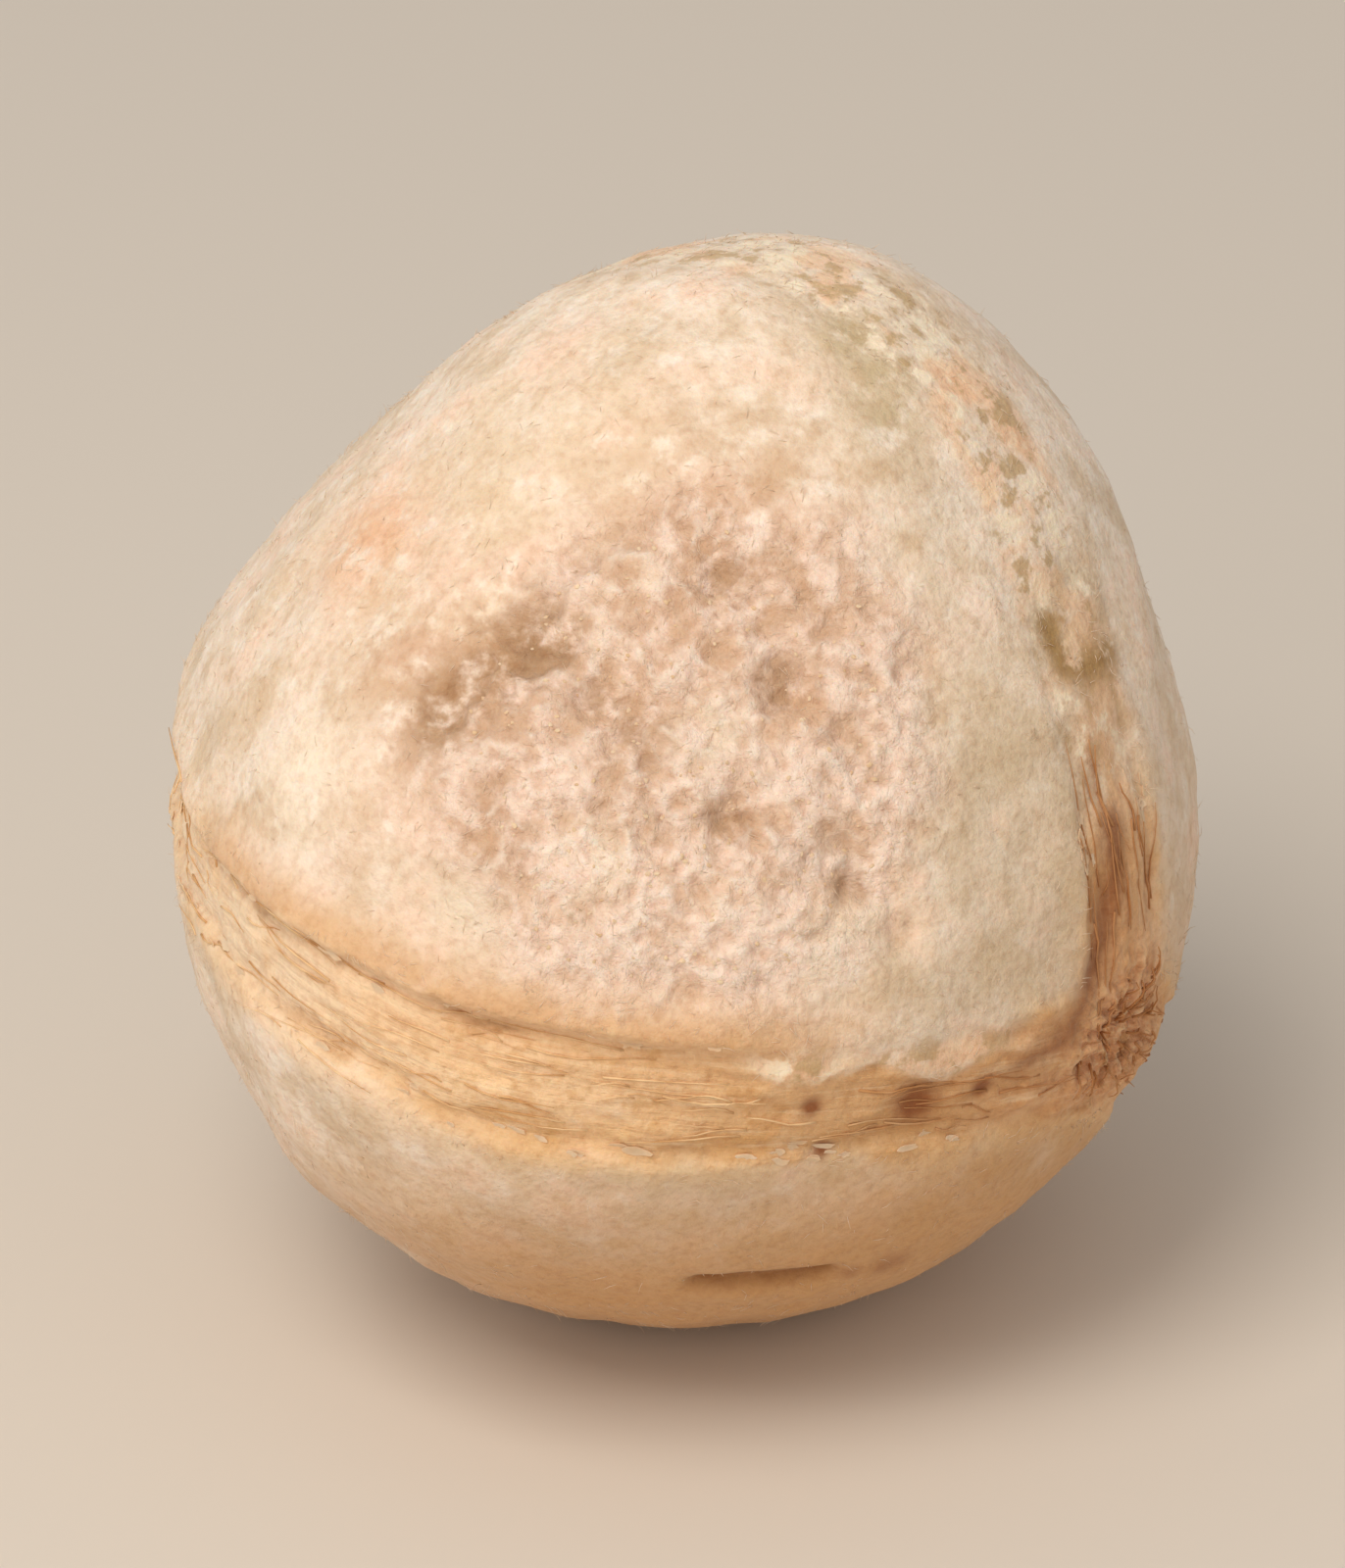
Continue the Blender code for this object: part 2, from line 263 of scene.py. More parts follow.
def low_crease(d):
    """1 in the short crease in the low face, and nearly 0 past twice its width."""
    start, end = LOW_CREASE
    share = np.clip((d - start) @ (end - start) / ((end - start) @ (end - start)), 0, 1)
    nearest = start + share[:, None] * (end - start)
    return bump(np.linalg.norm(d - nearest, axis=1) * MEAN_REACH, LOW_CREASE_WIDTH)


# The skin: dry, papery and matt. It has the solid's form, and over it the relief that the solid is
# too coarse for: torn edges, narrow crevices, fibres, crumbs, faint wrinkles and lumps.

# How far the scars' edges are torn out of line, and how far apart the tears are.
TORN_EDGES = ((0.10, 0.55), (0.10, 0.24), (0.06, 0.11))
EDGE_SOFTNESS, SOFTNESS_SPACING, SOFTNESS_RANGE = (0.08, 0.25), 0.9, (-0.3, 0.3)
CREVICE_DEPTH, CREVICE_AT, CREVICE_WIDTH = 0.40, -0.05, 0.055
CREVICE_GAPS, CREVICE_GAP_SPACING = (0.0, 0.35), 0.8
# Felt and dust fill that share of the crease under the lips.
CREASE_FILL = 0.8
# How plain a scar is where it begins to be seen and where it is seen whole. The faint part of the
# top scar has grown level with the skin, and the plain part narrows to a point there.
SEEN_SCAR, LEVELLED, NARROWED = (0.50, 1.0), 0.85, 0.38
# Where the top strip begins to be seen and where it is whole, counted from the knot along it, and
# how far it has grown level with the skin there.
TOP_STRIP, TOP_STRIP_SEEN, TOP_LEVELLED = 0, (2.6, 1.5), 0.5
# The strips' own edges fade out round the knot, over that radius.
END_LEVELLED, END_RADIUS = 0.8, 1.8
# How worn the patch is where the skin begins to be rubbed and where it is rubbed whole. The skin
# beside the patch is rubbed too, but less.
RUBBED_FROM = (0.02, 0.40)
RUBBED_TOO, RUBBED_TOO_RADIUS, RUBBED_LESS = direction(97.0, 150.0), 1.2, 0.5
# Skin has grown over the first side of the front strip near the knot: where this begins and is
# whole across the strip, and where along it, from the knot, it begins, is whole and ends.
FRONT_STRIP = 1
GROWN_ACROSS, GROWN_ALONG = (-0.14, -0.30), (1.1, 1.6, 3.3, 3.8)
GROWN_RAGGED, GROWN_SPACING = 0.25, 0.6
# Height of a relief, then its spacing across and along a strip. One layer steps up to the next
# where their waves rise through that range.
FIBRES = ((0.016, 0.17, 1.2), (0.010, 0.09, 0.7))
LAYERS, LAYER_WAVES, LAYER_STEP = 0.022, ((1.0, 0.30, 0.75), (0.6, 0.11, 0.26)), (-0.08, 0.16)
# Round both ends the fibres tangle and no longer run one way: how far, then height and spacing.
# Under the tangle they run out from the end like rays: height, how many, and length. The rays fade
# in from the very end, as shares of the kernel's reach.
TANGLED, TANGLES = 0.65, ((0.12, 0.22), (0.09, 0.10))
RAYS, RAYS_FROM, VERY_END = ((0.10, 3.2, 0.5), (0.06, 7.0, 0.3)), (0.0, 0.08), 0.01
# Height of a relief and its spacing, along the kernel too for the wrinkles.
WRINKLES = ((0.020, 0.60, 2.4), (0.012, 0.27, 1.3))
LUMPS = ((0.034, 0.75), (0.018, 0.33))
CRUMBS = ((0.070, 0.40), (0.065, 0.20), (0.040, 0.11))
# Tangles, wrinkles and crumbs are noise folded to sharp crests. These are the levels it is counted
# from, so that they neither swell nor shrink the kernel.
FOLD_LEVEL, CRUMB_LEVEL = 0.2, 0.22
# The floors of the pits have broken in further: how far, the noise that makes their rims ragged,
# and where the rims lie, also by how deep in a pit they are.
HOLLOW_DEPTH, HOLLOW_RAGGED, HOLLOW_SPACING = 0.035, 1.5, 0.17
HOLLOW_RIM, HOLLOW_IN_PIT = (0.48, 0.74), (0.12, 0.40)
# Here and there the low crease's crack is closed.
CRACK_CLOSED, CRACK_SPACING, CRACK_RANGE = 0.8, 0.28, (-0.90, -0.30)
# The skin's three corners round off towards the knot, and torn fibre fills it and the strips' ends.
CORNER_DROP, CORNER_RADIUS, CORNER_SOFTNESS = 0.12, 1.20, 0.24
KNOT_FILL, STRIP_END_FILL, STRIP_END_RADIUS = 0.03, 0.02, 1.0


def strip_noise(place, across, along, start=0.0):
    """Noise drawn out lengthwise on the strips, with waves of those spacings."""
    return noise_at(place / (across, along, 1) + (0, 0, start))


def skin(d):
    """The solid's reach in each direction, the finished reach, and the marks for the colours."""
    edge, lip, crease, plain, place = scars(d)
    inside = smooth_step(SCAR_EDGE_SLOPE / 2, -SCAR_EDGE_SLOPE / 2, edge)
    patch, worn, pit = worn_patch(d)
    to_knot = arc_distance(d, KNOT_AT)
    knot = bump(to_knot, KNOT_RADIUS)
    nub = bump(arc_distance(d, NUB_AT), NUB_RADIUS)
    crack = low_crease(d)
    section = lip * bump(edge - LIP_AT, LIP_WIDTH) * (1 - inside) - SCAR_DEPTH * plain * inside
    section -= crease * bump(edge - CREASE_AT, CREASE_WIDTH)
    solid = body_reach(d) + patch - KNOT_DEPTH * knot + NUB_HEIGHT * nub + section
    solid -= LOW_CREASE_DEPTH * crack

    sideways = place[:, 0] + GROWN_RAGGED * skin_noise(d, GROWN_SPACING, (3, 3, 9))
    grown = smooth_step(*GROWN_ACROSS, sideways) * (place[:, 2] == FRONT_STRIP * STRIP_APART)
    grown *= smooth_step(*GROWN_ALONG[:2], place[:, 1]) * smooth_step(*GROWN_ALONG[:1:-1], place[:, 1])
    shown = smooth_step(*SEEN_SCAR, plain)
    on_top = place[:, 2] == TOP_STRIP * STRIP_APART
    shown *= np.where(on_top, smooth_step(*TOP_STRIP_SEEN, place[:, 1]), 1)
    seen = shown * (1 - grown)
    torn = edge + sum(height * skin_noise(d, spacing, (2, 5, 8)) for height, spacing in TORN_EDGES)
    torn += NARROWED * (1 - shown)
    softer = smooth_step(*SOFTNESS_RANGE, skin_noise(d, SOFTNESS_SPACING, (4, 4, 1)))
    soft = between(EDGE_SOFTNESS, softer) + CORNER_SOFTNESS * bump(to_knot, CORNER_RADIUS)
    inside = smooth_step(soft, -soft, torn)
    gaps = smooth_step(*CREVICE_GAPS, skin_noise(d, CREVICE_GAP_SPACING, (7, 3, 2)))
    crevice = bump(torn - CREVICE_AT, CREVICE_WIDTH) * gaps * seen
    level = np.maximum(LEVELLED * (1 - seen), TOP_LEVELLED * on_top)
    level = np.maximum(level, END_LEVELLED * bump(to_knot, END_RADIUS))
    reach = solid - CREVICE_DEPTH * crease * crevice - level * section
    reach += CREASE_FILL * (1 - level) * crease * bump(edge - CREASE_AT, CREASE_WIDTH) * seen
    reach += KNOT_FILL * knot - CORNER_DROP * bump(to_knot, CORNER_RADIUS) * (1 - inside)
    reach += STRIP_END_FILL * bump(to_knot, STRIP_END_RADIUS) * inside
    opened = smooth_step(*CRACK_RANGE, skin_noise(d, CRACK_SPACING, (6, 1, 4)))
    reach += LOW_CREASE_DEPTH * crack * (1 - opened) * CRACK_CLOSED
    crack = crack * opened

    tangled = bump(np.arccos(np.clip(np.abs(d[:, 0]), 0, 1)) * MEAN_REACH, TANGLED)
    combed = seen * inside * (1 - tangled)
    for height, across, along in FIBRES:
        reach += combed * height * strip_noise(place, across, along)
    waves = sum(height * strip_noise(place, across, along, 3.0) for height, across, along in LAYER_WAVES)
    layer = smooth_step(*LAYER_STEP, waves)
    reach += combed * LAYERS * (layer - 0.5)
    tangle = seen * inside * tangled
    for height, spacing in TANGLES:
        reach += tangle * height * (FOLD_LEVEL - np.abs(skin_noise(d, spacing, (1, 6, 3))))
    off_axis = np.maximum(np.hypot(d[:, 1], d[:, 2]), VERY_END)
    for height, count, length in RAYS:
        places = np.column_stack([d[:, 1:] / off_axis[:, None] * count, off_axis * MEAN_REACH / length])
        ray = height * noise_at(places) * smooth_step(*RAYS_FROM, off_axis)
        reach += tangle * ray

    bare = 1 - inside * seen
    for height, across, along in WRINKLES:
        places = np.column_stack([d[:, 1:] * MEAN_REACH / across, place[:, 1] / along])
        reach += bare * height * (FOLD_LEVEL - np.abs(noise_at(places)))
    for height, spacing in LUMPS:
        reach += height * skin_noise(d, spacing, (5, 9, 2))
    rubbed = smooth_step(*RUBBED_FROM, worn)
    rubbed = np.maximum(rubbed, RUBBED_LESS * bump(arc_distance(d, RUBBED_TOO), RUBBED_TOO_RADIUS))
    crumb = sum(height * (CRUMB_LEVEL - np.abs(skin_noise(d, spacing, (8, 2, 6))))
                for height, spacing in CRUMBS)
    reach += rubbed * bare * crumb
    broken = pit + HOLLOW_RAGGED * skin_noise(d, HOLLOW_SPACING, (4, 8, 5))
    hollow = smooth_step(*HOLLOW_RIM, broken) * smooth_step(*HOLLOW_IN_PIT, pit)
    reach -= HOLLOW_DEPTH * hollow
    marks = {"edge": edge, "inside": inside, "seen": seen, "crevice": crevice, "crease": crease,
             "layer": layer, "tangled": tangled, "rubbed": rubbed, "pit": pit, "hollow": hollow,
             "crumb": crumb, "knot": knot, "nub": nub, "crack": crack, "place": place}
    return solid, reach, marks


AXIS_DIP, REST_SPOT_RISE = 10.0, 0.2
FINE_BY_SCAR, FINE_BY_PATCH, FINER_BY_ENDS = 0.24, 2.2, 0.85

ball = bmesh.new()
bmesh.ops.create_icosphere(ball, subdivisions=7, radius=1.0)
for at_ends in (False, True):
    middles = np.array([(e.verts[0].co + e.verts[1].co).normalized() for e in ball.edges])
    if at_ends:
        fine = np.arccos(np.abs(middles[:, 0])) * MEAN_REACH < FINER_BY_ENDS
    else:
        fine = (scars(middles)[0] < FINE_BY_SCAR) | (arc_distance(middles, PATCH_AT) < FINE_BY_PATCH)
    cut = [e for e, f in zip(ball.edges, fine) if f]
    bmesh.ops.subdivide_edges(ball, edges=cut, cuts=1, use_grid_fill=True)
    bmesh.ops.triangulate(ball, faces=ball.faces[:])
bmesh.ops.recalc_face_normals(ball, faces=ball.faces[:])
skin_mesh = bpy.data.meshes.new("kernel_skin")
ball.to_mesh(skin_mesh)
ball.free()

DIP = np.array(Matrix.Rotation(math.radians(AXIS_DIP), 3, "Y"))
d = np.array([v.co.normalized() for v in skin_mesh.vertices])
solid, reach, marks = skin(d)
low, high = (np.array(corner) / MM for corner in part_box("kernel"))
lying = (d * solid[:, None]) @ DIP.T
rest_level = lying[:, 2].min() + REST_SPOT_RISE
base = (lying.min(0) + lying.max(0) - low - high) / 2
base[2] = rest_level


def laid(d, reach):
    """Points of the kernel as it lies on the table, in metres."""
    points = (d * reach[:, None]) @ DIP.T
    points[:, 2] = np.maximum(points[:, 2], rest_level)
    return (points - base) * MM


points = laid(d, reach)
skin_mesh.vertices.foreach_set("co", points.ravel())
skin_mesh.shade_smooth()

# The skin's marks, kept on its points, say where each colour lies. The material breaks them up.

TRAIL_STEPS = 5


def spots(*places):
    """The strongest of several round soft marks, each at a polar angle, a turn and a radius."""
    return np.maximum.reduce([bump(arc_distance(d, direction(p, t)), radius) for p, t, radius in places])


def trail(radius, *places):
    """A soft line of that radius through several polar angles and turns."""
    stops = [direction(*place) for place in places]
    steps = [a + (b - a) * k / TRAIL_STEPS for a, b in zip(stops, stops[1:]) for k in range(TRAIL_STEPS + 1)]
    return np.maximum.reduce([bump(arc_distance(d, s / np.linalg.norm(s)), radius) for s in steps])


place, seen, edge = marks["place"], marks["seen"], marks["edge"]
strip = marks["inside"] * seen
to_knot = arc_distance(d, KNOT_AT)
first_side = smooth_step(0.05, -0.30, place[:, 0])
last_side = smooth_step(0.10, 0.34, place[:, 0])
by_knot = bump(place[:, 1], 1.5)
front = place[:, 2] == FRONT_STRIP * STRIP_APART
on_top = place[:, 2] == TOP_STRIP * STRIP_APART
COLOUR_MARKS = {
    "rubbed": smooth_step(0.15, 0.85, marks["rubbed"] + 0.35 * skin_noise(d, 0.7, (1, 7, 7))),
    # The crumbs are coloured by their relief: painted shade darkens the dips and a painted highlight lightens
    # the crests, over the flesh's own mottle.
    "dip": smooth_step(0.012, -0.030, marks["crumb"]) * marks["rubbed"],
    "crest": smooth_step(0.012, 0.028, marks["crumb"]) * marks["rubbed"],
    # Darker the deeper the pit, and darker still in the broken-in hollows: painted shade over the brown of
    # the torn flesh.
    "pit": marks["pit"] ** 1.3,
    "hollow": marks["hollow"],
    "pitted": trail(0.24, (97.5, 146.0), (98.5, 141.5), (95.5, 138.0), (93.0, 134.5), (90.5, 131.5)),
    "taupe": spots((95.0, 139.5, 0.90), (79.2, 117.3, 0.95), (104.3, 141.0, 0.60), (86.0, 153.5, 0.45),
                   (77.7, 136.1, 0.60), (62.1, 140.4, 0.22), (62.5, 122.5, 0.30), (68.0, 114.0, 0.45)),
    # Paler spots. The last one lightens a place that faces away from the lamps: painted light.
    "pale": spots((85.0, 161.5, 0.24), (111.0, 156.5, 0.50), (70.1, 133.2, 0.25), (46.0, 151.0, 0.30),
                  (75.0, 152.0, 0.25), (24.0, 71.0, 0.34)),
    "flecked": spots((112.0, 157.0, 1.0), (104.0, 143.0, 0.6), (66.0, 158.0, 0.8), (72.0, 100.0, 0.7),
                     (56.0, 104.0, 0.5)),
    "orange": spots((120.5, 129.0, 0.55), (73.6, 83.7, 0.18), (66.6, 79.2, 0.16), (36.0, 86.0, 0.26)),
    "olive": spots((83.0, 89.3, 0.26), (79.0, 91.0, 0.24), (75.0, 93.5, 0.26)),
    "greyish": np.maximum.reduce([
        0.40 * trail(0.40, (75.0, 93.5), (66.5, 97.8), (54.4, 101.4), (44.3, 106.0)),
        0.80 * trail(0.58, (42.0, 109.0), (36.6, 117.0), (29.0, 133.0), (28.4, 150.0)),
        0.90 * trail(0.34, (33.0, 106.0), (26.0, 112.0), (20.5, 128.0), (20.0, 148.0)),
        0.65 * trail(0.38, (66.0, 188.0), (52.0, 188.0)),
        0.65 * spots((87.0, 165.0, 0.40)),
    ]),
    # Tan that deepens towards the knot end on the low side and towards the bottom: partly the kernel's own
    # tan, partly painted shade low down.
    "tan": bump(to_knot, 2.1) * between((0.35, 0.70), smooth_step(0.28, -0.10, d[:, 2]))
           + smooth_step(3.6, 1.2, points[:, 2] / MM) * smooth_step(-2.4, 1.4, points[:, 0] / MM),
    # Painted shade: darker towards the bottom, where the kernel nears the table.
    "under": smooth_step(2.9, 0.6, points[:, 2] / MM),
    "brushed": bump(edge - 0.7, 0.75),
    "halo": bump(edge, 0.25) * seen,
    # Light brown along part of the front strip's upper edge and the skin just over it: partly stain, partly
    # painted shade under the lip.
    "upper_edge_stain_and_shade": smooth_step(0.60, 0.05, edge) * (place[:, 0] < 0) * front
                  * smooth_step(2.2, 3.6, place[:, 1]) * smooth_step(9.0, 8.0, place[:, 1]),
    # A painted highlight: a bright cream rim along part of the front strip's lower lip, as if it caught the
    # light.
    "lower_rim_painted_highlight": bump(edge - 0.12, 0.13) * (place[:, 0] > 0) * front
                 * smooth_step(5.4, 6.6, place[:, 1]) * smooth_step(8.4, 7.6, place[:, 1]),
    "strip": strip,
    "first_side": strip * first_side,
    "last_side": strip * last_side * (1 - on_top),
    "top_last_side": strip * last_side * on_top,
    "flap": strip * smooth_step(0.55, 1.0, marks["layer"]) * (1 - marks["tangled"]),
    "far_strip": strip * front * smooth_step(4.8, 8.0, place[:, 1]),
    "strip_by_knot": strip * smooth_step(5.4, 1.6, place[:, 1]) * (1 - 0.6 * on_top * first_side),
    "faint_strip": smooth_step(0.10, -0.15, edge) * (1 - seen),
    "scar_start": trail(0.30, (46.0, 83.5), (28.0, 86.0)),
    "ring": np.maximum(trail(0.16, (49.5, 89.3), (45.0, 89.8), (43.2, 84.0), (43.8, 77.5)),
                       0.5 * trail(0.11, (49.5, 89.0), (53.4, 82.0), (51.0, 76.5), (47.0, 76.0))),
    # Painted shade: the crevices under the lips are coloured darker, by how deep their crease is.
    "crevice": marks["crevice"] * np.clip(marks["crease"] / 0.05, 0, 1),
    "knot": np.clip(marks["knot"] + 0.6 * by_knot * smooth_step(0.12, -0.10, edge), 0, 1),
    "nub": marks["nub"],
    "crack": marks["crack"],
    "dark": np.maximum.reduce([
        1.40 * spots((30.7, 178.5, 0.17), (22.6, 176.0, 0.09), (43.6, 177.0, 0.08), (41.5, 186.0, 0.07)),
        0.60 * spots((36.5, 228.5, 0.17), (40.5, 224.5, 0.09)),
        0.75 * trail(0.13, (17.5, 168.8), (11.3, 153.2), (12.5, 127.0)),
        0.90 * trail(0.15, (12.5, 127.0), (16.5, 104.0), (21.5, 93.0), (26.5, 91.0)),
    ]),
    "shoulder": spots((104.0, 124.0, 1.2)),
    "tangle": strip * marks["tangled"],
}
COLOUR_MARKS["streaky"] = strip * (1 - np.clip(COLOUR_MARKS["dark"], 0, 1)) * (1 - marks["tangled"])
for name, values in COLOUR_MARKS.items():
    kept = skin_mesh.attributes.new(name, "FLOAT", "POINT")
    kept.data.foreach_set("value", np.clip(values, 0, 1))
skin_mesh.attributes.new("place", "FLOAT_VECTOR", "POINT").data.foreach_set("vector", place.ravel())


def linear(hex_colour):
    """An sRGB hex colour as the linear one that a socket takes."""
    values = [int(hex_colour[k:k + 2], 16) / 255 for k in (0, 2, 4)]
    return [v / 12.92 if v <= 0.04045 else ((v + 0.055) / 1.055) ** 2.4 for v in values] + [1.0]


def add(tree, kind, inputs=None, **settings):
    """Adds a node. The inputs are its sockets' values, or the sockets that feed them."""
    made = tree.nodes.new(kind)
    for name, value in settings.items():
        setattr(made, name, value)
    for name, value in (inputs or {}).items():
        if isinstance(value, bpy.types.NodeSocket):
            tree.links.new(value, made.inputs[name])
        else:
            made.inputs[name].default_value = value
    return made


def noise_of(tree, where, spacing, detail, roughness=0.5, distortion=0.0, kind="FBM"):
    """Noise over the object, with waves of that spacing in mm."""
    inputs = {"Vector": where, "Scale": 1 / (spacing * MM), "Detail": detail,
              "Roughness": roughness, "Distortion": distortion}
    return add(tree, "ShaderNodeTexNoise", inputs, noise_type=kind).outputs["Fac"]


def ranged(tree, value, start=0.0, end=1.0, least=0.0, most=1.0, step="LINEAR"):
    """The value's range from start to end, turned into the range from least to most."""
    inputs = {"Value": value, "From Min": start, "From Max": end, "To Min": least, "To Max": most}
    return add(tree, "ShaderNodeMapRange", inputs, interpolation_type=step).outputs[0]


def times(tree, first, second):
    """The product of two values."""
    return add(tree, "ShaderNodeMath", {0: first, 1: second}, operation="MULTIPLY").outputs[0]


def painted(tree, under, hex_colour, cover, blend="MIX"):
    """A colour with another one laid over it, as far as the cover says."""
    inputs = {0: cover, 6: under, 7: linear(hex_colour)}
    return add(tree, "ShaderNodeMix", inputs, data_type="RGBA", blend_type=blend).outputs[2]


def bumped(tree, height, strength, depth, over=None):
    """A bump of that depth in mm, on top of the one before it."""
    inputs = {"Height": height, "Strength": strength, "Distance": depth * MM}
    if over is not None:
        inputs["Normal"] = over
    return add(tree, "ShaderNodeBump", inputs).outputs[0]


# Dry seed skin, papery and a little translucent, so light goes in and comes out soft and warm. Its
# patterns are noises of four spacings. The mottles come first: a colour, the noise that breaks it
# up with the range that is used, and how strongly it covers. Then each layer lies over the last:
# its colour, its mark, how strongly it covers, and its noise with the range that is used.
SPACINGS = {"broad": 1.5, "blotch": 0.62, "speck": 0.24, "dust": 0.075}
SKIN_CREAM = "F8EBDC"
SKIN_MOTTLES = (
    ("EFDAC2", "broad", 0.35, 0.65, 1.00),
    ("F9DCC6", "blotch", 0.47, 0.34, 0.85),
    ("E2CBAE", "blotch", 0.48, 0.70, 0.90),
    ("FDF3E6", "speck", 0.46, 0.34, 0.70),
    ("D8BA98", "speck", 0.54, 0.70, 0.60),
)
SKIN_LAYERS = (
    ("DAC4A8", "brushed", 0.60, "blotch", 0.44, 0.68),
    ("EAD2B2", "shoulder", 0.60, "blotch", 0.30, 0.55),
    ("FFE6D6", "rubbed", 0.85, "blotch", 0.15, 0.42),
    ("F8E4C8", "rubbed", 0.60, "broad", 0.52, 0.64),
    ("E6C6AA", "rubbed", 0.55, "speck", 0.50, 0.64),
    ("D9B998", "flecked", 0.55, "blotch", 0.52, 0.66),
    ("FFF4E8", "flecked", 0.50, "blotch", 0.46, 0.34),
    ("D2AA8A", "taupe", 0.75, "speck", 0.32, 0.58),
    # Painted shade in the crumbs' dips, then a painted highlight on their crests.
    ("DCB898", "dip", 0.70, "speck", 0.25, 0.55),
    ("FFF0E2", "crest", 0.60, "speck", 0.30, 0.55),
    # The last pale spot is painted light.
    ("FFF2DE", "pale", 0.75, "speck", 0.36, 0.56),
    # Painted shade over the flesh's brown, darkest at the bottom of the pits.
    ("B7906A", "pit", 0.65, "speck", 0.38, 0.58),
    ("B48E69", "pitted", 0.75, "speck", 0.26, 0.56),
    # Painted shade in the broken-in hollows of the pits.
    ("A8825E", "hollow", 0.22, "speck", 0.15, 0.50),
    ("EEB88E", "orange", 0.75, "speck", 0.20, 0.55),
    ("C2AE86", "olive", 0.80, "speck", 0.25, 0.52),
    ("CBBB9F", "greyish", 0.65, "blotch", 0.22, 0.50),
    # Painted shade: the under layer darkens the kernel towards the bottom.
    ("C89A6E", "under", 0.66, "broad", 0.20, 0.55),
    # Partly the kernel's own tan, partly painted shade low down.
    ("CA9962", "tan", 0.88, "broad", 0.00, 0.45),
    ("E6C496", "halo", 0.55, "blotch", 0.25, 0.60),
    # Partly stain, partly painted shade under the front strip's upper lip.
    ("DEB388", "upper_edge_stain_and_shade", 0.90, "blotch", 0.15, 0.50),
    # A painted highlight along the front strip's lower lip.
    ("FFE2C2", "lower_rim_painted_highlight", 0.95, "speck", 0.10, 0.45),
    ("F6CFA0", "strip", 0.96, "blotch", 0.10, 0.40),
    ("E4B88A", "first_side", 0.65, "blotch", 0.25, 0.60),
    ("D4A468", "last_side", 0.70, "blotch", 0.25, 0.60),
    ("EFD2A8", "top_last_side", 0.80, "blotch", 0.25, 0.60),
    ("F9DCB8", "flap", 0.50, "speck", 0.35, 0.60),
    ("D2A064", "strip", 0.45, "speck", 0.52, 0.62),
    ("F8E2C6", "far_strip", 0.75, "blotch", 0.20, 0.50),
    ("C8945C", "strip_by_knot", 0.75, "blotch", 0.10, 0.50),
    ("FDEED4", "faint_strip", 0.90, "speck", 0.50, 0.40),
    ("F2C8A0", "faint_strip", 0.60, "blotch", 0.52, 0.40),
    ("C4A87C", "faint_strip", 0.75, "speck", 0.51, 0.61),
    ("DDB68E", "scar_start", 0.65, "speck", 0.20, 0.55),
    ("A5824E", "ring", 0.95, "speck", 0.28, 0.47),
    # Painted shade in the crevices under the lips.
    ("BC8A58", "crevice", 0.55, "speck", 0.20, 0.48),
    ("DCA47C", "knot", 0.80, "speck", 0.20, 0.55),
    ("A9734A", "tangle", 0.65, "dust", 0.50, 0.64),
    ("F0CDA0", "tangle", 0.55, "dust", 0.47, 0.36),
    ("B88653", "nub", 0.75, "speck", 0.30, 0.60),
    ("8E5A2C", "crack", 0.92, "speck", 0.05, 0.30),
    ("8F532B", "dark", 0.92, "speck", 0.05, 0.35),
)
# Streaks along the strips, darker and lighter than their tan: colour, range and how strong.
STREAK_ACROSS, STREAK_ALONG = 0.07, 0.9
STREAKS = (("C8945E", 0.54, 0.74, 0.38), ("F9E0BC", 0.46, 0.30, 0.45))

skin_paper = bpy.data.materials.new("dry_seed_skin")
skin_paper.use_nodes = True
tree = skin_paper.node_tree
shader = tree.nodes["Principled BSDF"]
where = add(tree, "ShaderNodeTexCoord").outputs["Object"]
noises = {name: noise_of(tree, where, spacing, detail=4.0, roughness=0.6)
          for name, spacing in SPACINGS.items()}
colour = add(tree, "ShaderNodeRGB").outputs[0]
colour.default_value = linear(SKIN_CREAM)
for hex_colour, pattern, thin, thick, cover in SKIN_MOTTLES:
    spread = ranged(tree, noises[pattern], thin, thick, most=cover)
    colour = painted(tree, colour, hex_colour, spread)
for hex_colour, mark, cover, pattern, thin, thick in SKIN_LAYERS:
    spread = ranged(tree, noises[pattern], thin, thick, most=cover, step="SMOOTHSTEP")
    marked = add(tree, "ShaderNodeAttribute", attribute_name=mark).outputs["Fac"]
    colour = painted(tree, colour, hex_colour, times(tree, marked, spread))
along = add(tree, "ShaderNodeAttribute", attribute_name="place").outputs["Vector"]
drawn = add(tree, "ShaderNodeMapping", {"Vector": along, "Scale": (1 / STREAK_ACROSS, 1 / STREAK_ALONG, 1.0)})
streaks = add(tree, "ShaderNodeTexNoise", {"Vector": drawn.outputs[0], "Scale": 1.0, "Detail": 4.0,
                                           "Roughness": 0.65}).outputs["Fac"]
strip_mark = add(tree, "ShaderNodeAttribute", attribute_name="streaky").outputs["Fac"]
for hex_colour, start, end, most in STREAKS:
    streak = ranged(tree, streaks, start, end, most=most)
    colour = painted(tree, colour, hex_colour, times(tree, strip_mark, streak))
dusty = ranged(tree, noises["dust"], 0.45, 0.75, most=0.35)
tree.links.new(painted(tree, colour, "CDA98A", dusty, blend="MULTIPLY"), shader.inputs["Base Color"])

